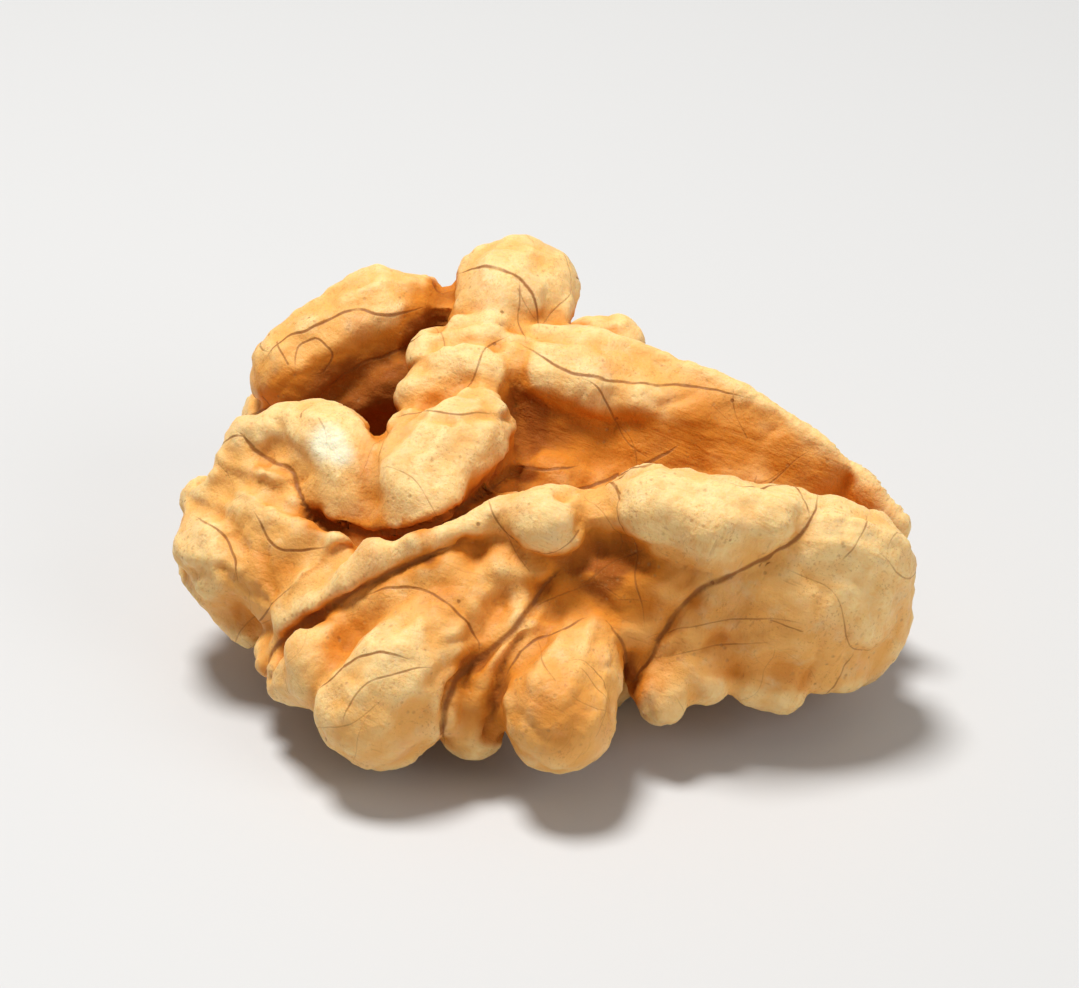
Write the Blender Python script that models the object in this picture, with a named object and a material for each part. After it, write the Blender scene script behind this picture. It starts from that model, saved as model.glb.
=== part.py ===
"""Half kernel of a cracked walnut, lying on its rounded outer side with its septum side up.

The kernel grew as one piece, so it is one solid. It is built up the way it is folded: lobes, each a tube
along a curve with its own thickness, and webs, each a fan of such tubes side by side, are fused by a voxel
remesh, smoothed so that they run into each other, and thinned to the facets that the shape needs.

The tables of lobes and webs are in millimetres, and the scene is in metres. +X points along the kernel to
the tip of its wing, +Y to the knob at the end of its spine, and +Z up. The origin is the middle of the
bottom of the kernel's box.
"""

import bpy
import bmesh
from math import cos, radians, sin
from mathutils import Vector, noise

MM = 0.001
FUSE_VOXEL = 0.27 * MM
FUSE_SMOOTHING = 4
TRIANGLES = 10400
STEPS_PER_SPAN = 5  # samples between two points of a lobe
ROWS_PER_GAP = 4  # tubes between two rows of a web
CAP_STEPS = 4  # rings that round off each end of a lobe
CAP_ANGLE = radians(87)  # where the last ring stops, so that it keeps a width
SECTION_RESOLUTION = 3

# The tubes swell and pinch by this share of their radius, in lumps of about this size.
LUMP_SHARE = 0.16
LUMP_SIZE = 2.6 * MM

# The outer side is broken up into rounded lumps by creases between warped cells.
CELL_SIZE = 5.0 * MM
CELL_BEND = 0.35  # share of a cell's size that its edges are bent by
BEND_OFFSETS = (Vector((0, 0, 0)), Vector((11, 5, 3)), Vector((2, 17, 9)))  # one noise for each axis
CREASE_DEPTH = 0.45 * MM
CREASE_SHARE = 0.45  # how far a crease reaches into a cell, where 1 is the cell's middle
RIM_FADE = (3.0, -1.5)  # heights from the dome's centre, in millimetres, between which the creases come in
FRONT_FADE = (-7.0, -4.0)  # the same from front to back

# The outer side follows a dome, and its folds are laid on it by compass bearing from +X and elevation.
DOME_CENTRE = Vector((-0.3, 1.0, 8.8))
DOME_HALF_SIZES = Vector((16.9, 14.2, 8.8))
FOLD_DEPTH = 0.85  # how much of a fold's radius lies inside the dome

# Each lobe is a chain of (x, y, z, radius).
CORE = {
    "core_right": [(0.0, 0.0, 4.6, 3.2), (6.0, 0.0, 4.4, 3.2), (11.5, -0.5, 4.4, 2.6)],
    "core_left": [(-11.5, 2.0, 4.6, 3.0), (-7.5, 2.5, 4.4, 3.0), (-3.0, 1.5, 5.2, 4.0)],
    "core_back": [
        (-10.5, 7.5, 6.4, 3.2), (-4.0, 9.0, 6.8, 4.4), (3.0, 8.2, 6.4, 3.8), (10.5, 4.2, 5.2, 3.0),
    ],
    "core_mid_back": [(-8.0, 5.0, 4.6, 3.2), (0.0, 5.5, 5.0, 3.8), (8.0, 4.0, 4.6, 3.2)],
    "core_front": [
        (-10.5, -4.0, 4.0, 2.6), (-2.0, -5.5, 5.0, 3.4), (5.0, -5.0, 5.2, 3.2), (12.5, -4.2, 4.4, 2.7),
    ],
    "core_knob": [(-2.2, 11.2, 10.8, 2.4), (-4.8, 11.6, 8.6, 2.6)],
    "core_cheek": [(-12.5, 0.0, 5.2, 2.5), (-9.4, -2.4, 5.6, 2.4), (-5.5, -3.2, 6.0, 2.4)],
    "core_tip": [(12.5, -0.5, 3.8, 2.0), (14.2, -2.8, 3.6, 1.7)],
    "core_front_gap": [
        (-1.4, -7.0, 8.0, 1.5), (1.4, -7.2, 7.7, 1.6), (3.6, -7.2, 7.7, 1.7), (6.2, -7.4, 7.4, 1.6),
    ],
    "core_front_low": [(3.4, -8.0, 5.6, 1.7), (5.0, -8.0, 5.4, 1.6), (7.0, -8.2, 5.4, 1.5)],
}
SPINE = {
    "knob": [(-0.9, 10.8, 13.9, 2.3), (-1.5, 8.8, 13.5, 2.6)],
    "knob_left": [(-2.3, 10.9, 13.7, 1.9), (-2.7, 8.6, 13.0, 1.9)],
    "knob_right": [(0.1, 10.6, 13.7, 1.95), (0.1, 8.4, 12.6, 1.8)],
    "shoulder": [(-4.5, 5.6, 12.4, 1.7), (-2.3, 6.0, 12.8, 1.9)],
    "pinch": [(-5.1, 2.9, 11.4, 1.6), (-2.6, 3.2, 11.9, 1.8)],
    "finger": [(-2.9, 0.4, 11.4, 2.2), (-3.9, -1.4, 11.0, 2.6), (-5.2, -2.9, 10.1, 2.3)],
    "finger_side": [(-5.4, 0.5, 10.5, 1.8), (-6.1, -1.9, 9.9, 1.9)],
    "spine_foot": [
        (-1.5, 8.5, 10.5, 3.0), (-2.6, 5.0, 9.8, 2.9), (-2.9, 1.5, 9.0, 2.8), (-3.5, -1.5, 7.8, 2.4),
    ],
}
LEFT = {
    "curl": [
        (-13.3, 1.0, 10.1, 1.5), (-11.6, 1.0, 10.5, 1.8), (-9.7, 0.1, 10.3, 2.3), (-8.5, -1.5, 9.5, 2.1),
        (-7.0, -2.6, 8.8, 1.6), (-5.0, -3.4, 8.5, 1.3),
    ],
    "curl_rim": [(-14.0, 0.4, 9.0, 1.4), (-12.4, -0.6, 8.9, 1.6), (-10.6, -1.6, 8.6, 1.6)],
    "curl_foot": [(-13.0, 2.5, 7.4, 2.0), (-10.0, 2.0, 7.0, 2.0), (-7.0, 0.5, 6.8, 2.0)],
    "curl_floor": [(-13.4, 0.2, 7.0, 1.7), (-10.8, -1.4, 7.0, 1.7), (-8.4, -2.6, 7.0, 1.7)],
    "cheek": [
        (-14.9, 0.4, 6.4, 2.3), (-14.8, -1.5, 5.6, 2.6), (-12.6, -3.2, 5.8, 2.3), (-10.0, -4.2, 6.0, 1.8),
    ],
    "cheek_top": [
        (-14.3, -1.0, 6.6, 2.2), (-12.6, -2.4, 6.8, 2.2), (-10.8, -3.4, 6.9, 1.9), (-9.0, -4.0, 6.9, 1.6),
        (-6.5, -4.2, 7.3, 1.3),
    ],
    "cheek_back": [(-13.6, 2.2, 6.6, 2.1), (-14.5, 0.6, 6.6, 2.2)],
    "cheek_drop": [(-14.0, -2.6, 4.0, 1.7), (-13.4, -3.6, 3.2, 1.4)],
    "crown": [
        (-5.5, 10.2, 12.7, 1.9), (-7.4, 9.6, 12.5, 2.7), (-9.9, 8.5, 11.4, 2.9), (-11.6, 7.4, 10.5, 2.7),
    ],
    "recess_lump_a": [(-10.3, 6.3, 8.9, 1.5), (-8.9, 6.2, 9.5, 1.4)],
    "recess_lump_b": [(-7.6, 6.8, 9.9, 1.6), (-6.2, 6.9, 10.4, 1.5)],
}
WING_FOLDS = {
    "wing_fold_a": [
        (2.8, 7.8, 10.5, 1.5), (3.3, 10.2, 8.8, 1.9), (3.7, 11.6, 6.4, 2.1), (3.4, 11.6, 4.0, 2.0),
    ],
    "wing_fold_b": [(6.0, 6.8, 10.1, 1.4), (6.8, 8.9, 8.2, 1.8), (7.4, 10.0, 5.8, 2.1), (7.4, 9.8, 3.6, 2.1)],
    "wing_fold_c": [
        (9.6, 5.0, 9.3, 1.2), (10.6, 6.8, 7.4, 1.6), (11.0, 7.4, 5.2, 1.8), (10.8, 7.0, 3.4, 1.8),
    ],
    "wing_fold_d": [(12.8, 3.2, 8.0, 1.0), (13.7, 4.4, 6.2, 1.3), (13.7, 4.4, 4.4, 1.5)],
}
FRONT = {
    "rim_bulge": [
        (-1.3, -6.0, 10.2, 1.2), (0.7, -6.4, 10.1, 2.0), (3.2, -6.1, 10.2, 1.55), (5.5, -6.2, 10.8, 2.0),
        (8.0, -6.6, 10.4, 2.2), (10.5, -6.8, 10.1, 2.2), (13.2, -6.5, 9.2, 2.2), (15.2, -5.5, 7.2, 2.1),
        (15.6, -4.9, 4.6, 1.9),
    ],
    "thumb": [(2.0, -9.2, 5.5, 1.9), (1.6, -10.8, 4.8, 2.4), (1.1, -12.1, 4.0, 2.65)],
    "bead": [(4.8, -8.4, 4.6, 1.1), (5.7, -9.7, 3.3, 1.35)],
    "bead_next": [(6.6, -9.0, 4.4, 1.2), (7.7, -9.1, 3.7, 1.2)],
    "plate_foot": [(9.4, -8.9, 3.4, 1.0), (11.2, -8.8, 2.9, 1.2)],
    "front_lobe": [
        (-2.6, -7.6, 7.4, 1.5), (-4.3, -9.2, 6.1, 2.2), (-5.9, -10.6, 4.7, 2.8), (-7.1, -11.2, 3.4, 2.9),
    ],
    "front_lobe_right": [(-4.3, -9.6, 5.4, 1.7), (-4.9, -11.2, 3.8, 2.0)],
    "front_lobe_side": [(-9.4, -9.3, 4.2, 1.9), (-11.0, -8.2, 3.2, 1.4)],
    "strip": [(-0.4, -9.0, 6.4, 1.5), (-1.9, -10.5, 4.3, 1.5), (-2.8, -11.0, 2.2, 1.5)],
}
# The kernel rests on these three lobes of its outer side.
FEET = {
    "foot_left": [(-9.4, 2.4, 2.2, 2.1), (-7.8, 4.2, 1.45, 2.3), (-5.8, 5.8, 1.8, 2.2)],
    "foot_right": [(4.4, 5.8, 2.0, 2.2), (6.4, 4.8, 1.6, 2.3), (8.6, 3.4, 2.2, 2.1)],
    "foot_front": [(-2.2, -4.4, 2.0, 2.1), (0.2, -5.4, 1.58, 2.3), (2.8, -5.4, 1.95, 2.2)],
}
LOBES = {**CORE, **SPINE, **LEFT, **WING_FOLDS, **FRONT, **FEET}

# Each web is a list of rows of (x, y, z, radius), and is filled from row to row.
WING_EDGE = [
    (0.0, 5.6, 13.0, 1.2), (2.8, 5.2, 13.1, 0.85), (5.2, 4.8, 12.8, 0.7), (9.3, 3.0, 11.9, 0.55),
    (12.0, 1.8, 10.8, 0.48), (14.4, 0.8, 9.4, 0.46), (16.1, -0.2, 7.8, 0.46), (17.3, -0.8, 6.7, 0.45),
]
WEBS = {
    "wing": [
        WING_EDGE,
        [
            (-0.8, 4.2, 12.2, 1.5), (2.0, 3.6, 12.0, 1.4), (5.2, 3.0, 11.5, 1.2), (9.4, 2.2, 10.6, 0.8),
            (12.2, 1.2, 9.5, 0.6), (14.4, 0.5, 8.3, 0.55), (16.0, -0.4, 7.0, 0.5), (17.1, -0.9, 6.1, 0.48),
        ],
        [
            (-0.8, 2.6, 9.6, 1.4), (2.0, 2.4, 9.5, 1.2), (5.2, 1.9, 9.5, 1.1), (9.4, 1.3, 9.0, 0.9),
            (12.2, 0.6, 8.0, 0.7), (14.4, 0.0, 6.9, 0.6), (15.9, -0.7, 5.9, 0.55), (16.9, -1.1, 5.2, 0.5),
        ],
        [
            (-0.8, 0.6, 8.4, 1.4), (2.0, 0.6, 8.2, 1.3), (5.2, 0.4, 8.2, 1.2), (9.4, 0.0, 7.7, 1.1),
            (12.2, -0.6, 6.8, 1.0), (14.3, -1.2, 5.8, 0.9), (15.6, -1.6, 5.0, 0.8), (16.3, -1.9, 4.5, 0.8),
        ],
        [
            (-0.8, -2.6, 7.2, 1.6), (2.0, -2.6, 6.8, 1.6), (5.2, -2.6, 6.8, 1.6), (9.5, -2.7, 6.4, 1.5),
            (12.3, -3.0, 5.8, 1.4), (14.3, -3.2, 5.0, 1.3), (15.3, -3.3, 4.5, 1.2), (15.8, -3.4, 4.1, 1.1),
        ],
    ],
    "wing_back": [
        WING_EDGE,
        [
            (0.5, 8.2, 10.8, 1.8), (3.6, 7.8, 10.4, 1.8), (6.4, 6.8, 9.8, 1.6), (9.8, 5.2, 8.8, 1.4),
            (12.4, 3.6, 7.7, 1.2), (14.4, 2.4, 6.6, 1.0), (15.7, 1.0, 5.6, 0.8), (16.6, 0.0, 4.9, 0.6),
        ],
        [
            (1.0, 9.6, 8.4, 2.4), (4.2, 9.2, 8.0, 2.3), (7.4, 8.0, 7.4, 2.1), (10.6, 6.2, 6.6, 1.9),
            (13.0, 4.4, 5.8, 1.7), (14.8, 2.6, 5.0, 1.4), (15.6, 0.8, 4.4, 1.2), (16.0, -0.6, 4.0, 1.0),
        ],
    ],
    "plate": [
        [
            (5.6, -6.2, 10.0, 1.7), (8.2, -6.8, 9.6, 2.0), (11.0, -6.9, 9.2, 2.0), (13.6, -6.4, 8.3, 2.0),
            (15.3, -5.2, 6.9, 2.0),
        ],
        [
            (6.2, -7.6, 6.8, 1.4), (8.6, -8.0, 6.8, 1.6), (11.2, -8.1, 6.6, 1.7), (13.8, -7.3, 5.9, 1.9),
            (15.5, -5.6, 5.2, 1.9),
        ],
        [
            (8.4, -8.2, 3.5, 1.1), (9.6, -8.3, 3.9, 1.0), (11.6, -8.1, 3.5, 1.2), (13.7, -7.3, 3.1, 1.4),
            (15.2, -5.8, 2.7, 1.5),
        ],
    ],
    "lip": [
        [
            (-12.3, -7.0, 3.1, 0.5), (-11.2, -7.2, 5.1, 0.55), (-9.6, -7.3, 6.6, 0.55),
            (-6.5, -7.2, 8.3, 0.55), (-4.0, -6.8, 9.5, 0.65), (-1.8, -6.2, 10.4, 0.8),
        ],
        [
            (-11.8, -4.8, 3.4, 1.1), (-10.8, -5.0, 4.9, 1.1), (-9.2, -5.2, 6.0, 1.1), (-6.4, -5.2, 7.3, 1.2),
            (-3.8, -4.8, 8.2, 1.2), (-1.4, -4.4, 8.8, 1.4),
        ],
        [
            (-12.4, -3.6, 3.8, 1.3), (-11.2, -3.6, 5.0, 1.3), (-9.4, -3.6, 6.1, 1.3), (-6.4, -3.6, 7.3, 1.3),
            (-3.8, -3.4, 8.2, 1.3), (-1.4, -3.0, 8.6, 1.3),
        ],
    ],
    "front_hollow": [
        [(-11.6, -6.9, 3.2, 1.0), (-9.8, -7.4, 4.9, 1.0), (-6.6, -7.4, 6.8, 1.1), (-3.6, -7.0, 8.1, 1.2)],
        [(-10.4, -8.2, 3.2, 1.1), (-8.4, -8.9, 4.5, 1.2), (-5.8, -8.7, 6.0, 1.4), (-3.2, -8.1, 7.1, 1.5)],
    ],
}

# Each fold of the outer side is a chain of (bearing in degrees, elevation in degrees, radius).
FOLDS = {
    "fold_tip": [(8, -24, 1.7), (13, -28, 2.0), (26, -44, 2.2), (20, -62, 2.1)],
    "fold_right_a": [(27, -28, 1.8), (33, -32, 2.2), (42, -36, 2.4), (54, -40, 2.2), (62, -56, 2.2)],
    "fold_right_b": [(44, -28, 1.8), (51, -28, 2.2), (60, -34, 2.4), (72, -38, 2.2)],
    "fold_right_c": [(58, -22, 1.7), (66, -24, 2.0), (74, -28, 1.8)],
    "fold_back_a": [(74, 2, 2.1), (78, -3, 2.4), (80, -12, 2.3), (92, -28, 2.5), (84, -48, 2.3)],
    "fold_back_b": [(92, 22, 2.2), (98, 6, 2.3), (101, -12, 2.6), (112, -32, 2.2)],
    "fold_back_c": [(118, 26, 2.2), (115, 8, 2.3), (124, -8, 2.6), (130, -30, 2.3), (122, -52, 2.4)],
    "fold_left_a": [(140, 20, 2.2), (138, 2, 2.5), (150, -16, 2.2), (156, -38, 2.4)],
    "fold_left_b": [(158, -20, 1.9), (163, -22, 2.3), (173, -24, 2.2), (180, -46, 2.4)],
    "fold_left_c": [(175, -26, 2.0), (186, -28, 2.2), (198, -34, 2.3), (214, -48, 2.1)],
    "fold_under_a": [(40, -76, 2.3), (110, -72, 2.1), (150, -60, 2.4), (176, -66, 2.1)],
    "fold_under_b": [(-4, -36, 2.0), (-10, -54, 2.3), (-34, -68, 2.1), (-80, -72, 2.3), (-130, -70, 2.1)],
    "fold_under_c": [(-26, -38, 2.0), (-48, -50, 2.3), (-76, -54, 2.1), (-104, -52, 2.3), (-130, -50, 2.0)],
    "fold_under_d": [(0, -82, 2.2), (180, -84, 2.3), (184, -66, 2.2)],
    "fold_under_e": [(-150, -30, 1.9), (-140, -42, 2.2), (-158, -58, 2.0)],
}


def clear_scene():
    for obj in list(bpy.data.objects):
        bpy.data.objects.remove(obj, do_unlink=True)


def catmull_rom(a, b, c, d, t):
    """The point at t between b and c on the smooth curve through a, b, c and d."""
    return (b * 2 + (c - a) * t + (a * 2 - b * 5 + c * 4 - d) * t**2 + (b * 3 - a - c * 3 + d) * t**3) / 2


def with_more_between(known, steps):
    """The known points with steps - 1 more in each span, on one smooth curve through them all."""
    ends = [known[0] * 2 - known[1], *known, known[-1] * 2 - known[-2]]
    chain = []
    for i in range(len(known) - 1):
        for step in range(steps):
            chain.append(catmull_rom(*ends[i:i + 4], step / steps))
    return [*chain, known[-1]]


def on_dome(bearing, elevation, radius):
    """A fold's point as (x, y, z, radius) in millimetres, a little inside the dome."""
    bearing, elevation = radians(bearing), radians(elevation)
    outwards = Vector((cos(elevation) * cos(bearing), cos(elevation) * sin(bearing), sin(elevation)))
    half_sizes = DOME_HALF_SIZES - Vector((radius, radius, radius)) * FOLD_DEPTH
    return Vector((*(DOME_CENTRE + outwards * half_sizes), radius))


def web_chains(rows):
    """The rows of a web with more rows between them, each a chain of 4-vectors."""
    rows = [[Vector(point) for point in row] for row in rows]
    columns = [with_more_between(list(column), ROWS_PER_GAP) for column in zip(*rows)]
    return [list(row) for row in zip(*columns)]


def all_chains():
    chains = [[Vector(point) for point in lobe] for lobe in LOBES.values()]
    chains += [[on_dome(*point) for point in fold] for fold in FOLDS.values()]
    for rows in WEBS.values():
        chains += web_chains(rows)
    return chains


def lumpy(point):
    """The same point, in metres, with its radius swollen or pinched a little."""
    place = point.to_3d() * MM
    swell = 1.0 + LUMP_SHARE * noise.noise(place / LUMP_SIZE)
    return Vector((*place, point[3] * MM * swell))


def rounded_end(end, before):
    """Rings past an end, towards which the radius falls off as on a ball."""
    place, radius = end.to_3d(), end[3]
    outwards = (place - before.to_3d()).normalized()
    rings = []
    for step in range(1, CAP_STEPS + 1):
        angle = step / CAP_STEPS * CAP_ANGLE
        rings.append(Vector((*(place + outwards * radius * sin(angle)), radius * cos(angle))))
    return rings


def tubes_object(chains):
    """One curve object with a spline for each chain, as thick at each point as its radius."""
    curve = bpy.data.curves.new("tubes", "CURVE")
    curve.dimensions = "3D"
    curve.bevel_depth = 1.0
    curve.bevel_resolution = SECTION_RESOLUTION
    curve.use_fill_caps = True
    for known in chains:
        chain = [lumpy(point) for point in with_more_between(known, STEPS_PER_SPAN)]
        rings = [*reversed(rounded_end(chain[0], chain[1])), *chain, *rounded_end(chain[-1], chain[-2])]
        spline = curve.splines.new("POLY")
        spline.points.add(len(rings) - 1)
        for point, (x, y, z, radius) in zip(spline.points, rings):
            point.co = (x, y, z, 1.0)
            point.radius = radius
    obj = bpy.data.objects.new("tubes", curve)
    bpy.context.scene.collection.objects.link(obj)
    return obj


def evaluated_mesh(obj):
    bpy.context.view_layer.update()
    graph = bpy.context.evaluated_depsgraph_get()
    return bpy.data.meshes.new_from_object(obj.evaluated_get(graph))


def fused(mesh):
    """The overlapping tubes as one skin, softened where they meet."""
    obj = bpy.data.objects.new("fused", mesh)
    bpy.context.scene.collection.objects.link(obj)
    remesh = obj.modifiers.new("Fuse", "REMESH")
    remesh.mode = "VOXEL"
    remesh.voxel_size = FUSE_VOXEL
    soften = obj.modifiers.new("Soften", "SMOOTH")
    soften.factor = 0.5
    soften.iterations = FUSE_SMOOTHING
    skin = evaluated_mesh(obj)
    bpy.data.objects.remove(obj, do_unlink=True)
    return skin


def keep_outer_skin(mesh):
    """Deletes the skins of pockets left between the tubes, so that the flesh is solid."""
    bm = bmesh.new()
    bm.from_mesh(mesh)
    unseen = set(bm.verts)
    shells = []
    while unseen:
        shell = [unseen.pop()]
        for vert in shell:
            for edge in vert.link_edges:
                other = edge.other_vert(vert)
                if other in unseen:
                    unseen.discard(other)
                    shell.append(other)
        shells.append(shell)
    shells.sort(key=len)
    for shell in shells[:-1]:
        bmesh.ops.delete(bm, geom=shell, context="VERTS")
    bm.to_mesh(mesh)
    bm.free()


def smooth_step(low, high, value):
    t = min(max((value - low) / (high - low), 0.0), 1.0)
    return t * t * (3 - 2 * t)


def outer_share(place):
    """1 on the rounded outer side, 0 on the septum side and on the lobes at the front."""
    off_centre = place / MM - DOME_CENTRE
    below_rim = smooth_step(*RIM_FADE, off_centre.z)
    at_back = smooth_step(*FRONT_FADE, off_centre.y)
    return below_rim * at_back


def crease_outer_side(mesh):
    mesh.update()
    depths = []
    for vert in mesh.vertices:
        place = vert.co / CELL_SIZE
        bend = Vector(noise.noise(place + offset) for offset in BEND_OFFSETS)
        nearest, second = noise.voronoi(place + bend * CELL_BEND)[0][:2]
        crease = 1.0 - smooth_step(0.0, CREASE_SHARE, second - nearest)
        depths.append(crease * outer_share(vert.co) * CREASE_DEPTH)
    normals = [vert.normal.copy() for vert in mesh.vertices]
    for vert, normal, depth in zip(mesh.vertices, normals, depths):
        vert.co -= normal * depth


def thinned(mesh):
    """The same skin with only as many triangles as its shape needs."""
    obj = bpy.data.objects.new("thinned", mesh)
    bpy.context.scene.collection.objects.link(obj)
    thin = obj.modifiers.new("Thin", "DECIMATE")
    thin.ratio = TRIANGLES / (2 * len(mesh.polygons))
    thin.use_collapse_triangulate = True
    skin = evaluated_mesh(obj)
    bpy.data.objects.remove(obj, do_unlink=True)
    return skin


def centre_on_origin(mesh):
    """Moves the mesh so that the middle of the bottom of its box is the origin."""
    places = [vert.co for vert in mesh.vertices]
    lowest = Vector(min(place[axis] for place in places) for axis in range(3))
    highest = Vector(max(place[axis] for place in places) for axis in range(3))
    bottom = Vector(((lowest.x + highest.x) / 2, (lowest.y + highest.y) / 2, lowest.z))
    for vert in mesh.vertices:
        vert.co -= bottom


def flesh_material():
    material = bpy.data.materials.new("kernel_flesh")
    material.use_nodes = True
    shader = material.node_tree.nodes["Principled BSDF"]
    shader.inputs["Base Color"].default_value = (0.72, 0.46, 0.20, 1.0)
    shader.inputs["Roughness"].default_value = 0.5
    shader.inputs["Metallic"].default_value = 0.0
    return material


def build():
    clear_scene()
    tubes = tubes_object(all_chains())
    loose = evaluated_mesh(tubes)
    bpy.data.objects.remove(tubes, do_unlink=True)
    mesh = fused(loose)
    keep_outer_skin(mesh)
    crease_outer_side(mesh)
    mesh = thinned(mesh)
    centre_on_origin(mesh)
    mesh.name = "kernel_half"
    mesh.shade_smooth()
    mesh.materials.clear()
    mesh.materials.append(flesh_material())
    obj = bpy.data.objects.new("kernel_half", mesh)
    bpy.context.scene.collection.objects.link(obj)
    return obj


if __name__ == "__main__":
    build()
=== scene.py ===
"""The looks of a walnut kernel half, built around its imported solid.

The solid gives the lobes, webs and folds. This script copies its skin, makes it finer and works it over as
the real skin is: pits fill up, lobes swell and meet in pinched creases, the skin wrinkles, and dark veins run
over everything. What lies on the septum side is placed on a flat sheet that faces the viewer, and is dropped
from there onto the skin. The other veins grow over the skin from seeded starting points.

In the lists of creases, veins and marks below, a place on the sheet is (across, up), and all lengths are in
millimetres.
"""

import random
from math import cos, pi, radians, sin
from types import SimpleNamespace

import bpy
import numpy as np
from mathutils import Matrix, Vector, noise
from mathutils.bvhtree import BVHTree
from mathutils.kdtree import KDTree


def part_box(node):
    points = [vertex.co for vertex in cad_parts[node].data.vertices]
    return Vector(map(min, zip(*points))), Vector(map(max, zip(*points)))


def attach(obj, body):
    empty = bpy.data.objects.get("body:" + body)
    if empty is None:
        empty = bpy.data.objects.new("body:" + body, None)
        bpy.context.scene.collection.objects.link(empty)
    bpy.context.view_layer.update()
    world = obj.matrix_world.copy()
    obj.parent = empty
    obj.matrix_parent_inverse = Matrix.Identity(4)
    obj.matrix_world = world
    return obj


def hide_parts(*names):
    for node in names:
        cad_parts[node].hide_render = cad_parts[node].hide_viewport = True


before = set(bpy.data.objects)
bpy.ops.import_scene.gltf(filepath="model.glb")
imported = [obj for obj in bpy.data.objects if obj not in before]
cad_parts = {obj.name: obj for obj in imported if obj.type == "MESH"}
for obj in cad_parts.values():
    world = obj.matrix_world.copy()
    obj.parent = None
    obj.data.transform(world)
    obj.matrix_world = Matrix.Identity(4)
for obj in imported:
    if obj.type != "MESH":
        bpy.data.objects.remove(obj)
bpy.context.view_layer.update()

MM = 0.001
NODE = "kernel_half"
LOWEST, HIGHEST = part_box(NODE)
MIDDLE = (LOWEST + HIGHEST) / 2

# The viewer looks down at the kernel from the front, and the sheet leans back to face the viewer.
VIEW_ELEVATION = radians(30)
ACROSS = Vector((1, 0, 0))
UP = Vector((0, sin(VIEW_ELEVATION), cos(VIEW_ELEVATION)))
TO_VIEWER = Vector((0, -cos(VIEW_ELEVATION), sin(VIEW_ELEVATION)))
SHEET_CENTRE = Vector((MIDDLE.x - 0.2 * MM, MIDDLE.y, LOWEST.z + 8.38 * MM))
DROP_HEIGHT = 60 * MM  # how far in front of the sheet its marks are dropped from

WELD_DISTANCE = 0.001 * MM
ROUNDING_LEVELS = 2
SKIN_VOXEL = 0.2 * MM
SKIN_SMOOTHING = 3

# How often the skin's points are blended with their neighbours to tell a lobe or a hollow from what is round
# it: the more often, the larger the lobes and hollows.
PIT_PASSES = 60
CREST_PASSES = 60
LOBE_PASSES = 34
HOLLOW_PASSES = 10
FOLD_PASSES = 8

# Creases of the septum side: depth, width, how much painted shade darkens them, and their route on the sheet.
CREASES = {
    "under_curl": (
        0.35, 0.27, 0.8,
        [(-11.0, 0.2), (-10.2, -1.06), (-8.6, -1.7), (-6.75, -1.9), (-4.9, -1.5), (-3.3, -0.6), (-0.7, 1.2)],
    ),
    "lip": (0.22, 0.55, 0.8, [(-12.4, -8.6), (-11.1, -6.5), (-9.4, -5.3), (-6.5, -3.7), (-3.3, -2.3)]),
    "lobe_and_strip": (
        0.28, 0.65, 0.8,
        [(-4.1, -11.2), (-3.6, -8.6), (-2.1, -7.1), (-0.6, -5.7), (1.0, -3.5)],
    ),
    "plate_edge": (0.22, 0.6, 0.4, [(4.2, -8.7), (5.2, -7.2), (5.9, -6.0), (7.8, -4.1), (9.8, -3.1)]),
    "plate_groove": (0.14, 0.9, 0.0, [(5.3, -7.5), (7.6, -6.8), (10.0, -6.3), (12.3, -6.2)]),
    "curl_fold": (0.16, 0.6, 0.4, [(-13.9, 2.8), (-12.8, 1.75), (-11.3, 0.97), (-11.0, 0.2), (-10.4, -0.8)]),
    "curl_left": (0.2, 0.6, 0.3, [(-15.2, 1.4), (-14.4, 0.9), (-13.0, 0.45), (-11.4, 0.1)]),
    "finger_top": (0.14, 0.6, 0.12, [(-6.9, 3.7), (-4.6, 3.5), (-2.6, 3.6), (-1.0, 3.4)]),
    "spine_right": (0.25, 0.9, 0.15, [(-0.6, 7.2), (-0.9, 5.4), (-0.8, 3.2), (-0.5, 1.8)]),
    "bulge_top": (0.2, 0.7, 0.1, [(1.2, -0.1), (3.4, 0.6), (5.6, 1.2), (7.2, 1.1)]),
    "bulge_waist": (0.3, 1.0, 0.05, [(2.4, 0.3), (2.4, -1.2), (3.0, -2.5)]),
    "wing_ridge": (0.2, 1.1, 0.15, [(-0.8, 4.5), (1.1, 3.7), (3.3, 3.2), (4.8, 3.2)]),
    "bulge_two": (
        0.3, 1.2, 0.1,
        [(3.6, -2.4), (5.4, -3.1), (8.2, -3.8), (10.0, -3.3), (11.6, -2.2), (12.6, -0.8)],
    ),
    "strip_right": (0.3, 0.7, 0.8, [(-0.6, -6.4), (-1.4, -7.6), (-1.8, -9.2), (-2.1, -10.8)]),
    "bulge_under": (
        0.12, 0.8, 0.0,
        [(-1.6, -1.6), (-0.4, -2.8), (1.8, -3.2), (3.8, -2.2), (6.0, -2.7), (7.6, -3.6)],
    ),
    "knob_left": (0.5, 1.0, 0.35, [(-4.9, 12.2), (-4.6, 10.8), (-4.4, 9.4), (-4.7, 8.0)]),
    "knob_neck": (0.2, 0.8, 0.1, [(-4.3, 7.9), (-2.4, 8.2), (-0.4, 7.7), (1.4, 7.2)]),
    "cheek_a": (0.12, 0.6, 0.3, [(-16.6, -0.2), (-14.4, -1.2), (-13.4, -2.6)]),
    "cheek_b": (0.12, 0.6, 0.3, [(-12.6, -1.9), (-12.4, -3.2), (-12.0, -4.6)]),
    "cheek_c": (0.15, 0.6, 0.3, [(-14.6, -3.4), (-13.6, -4.4), (-12.4, -4.9)]),
}

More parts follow.
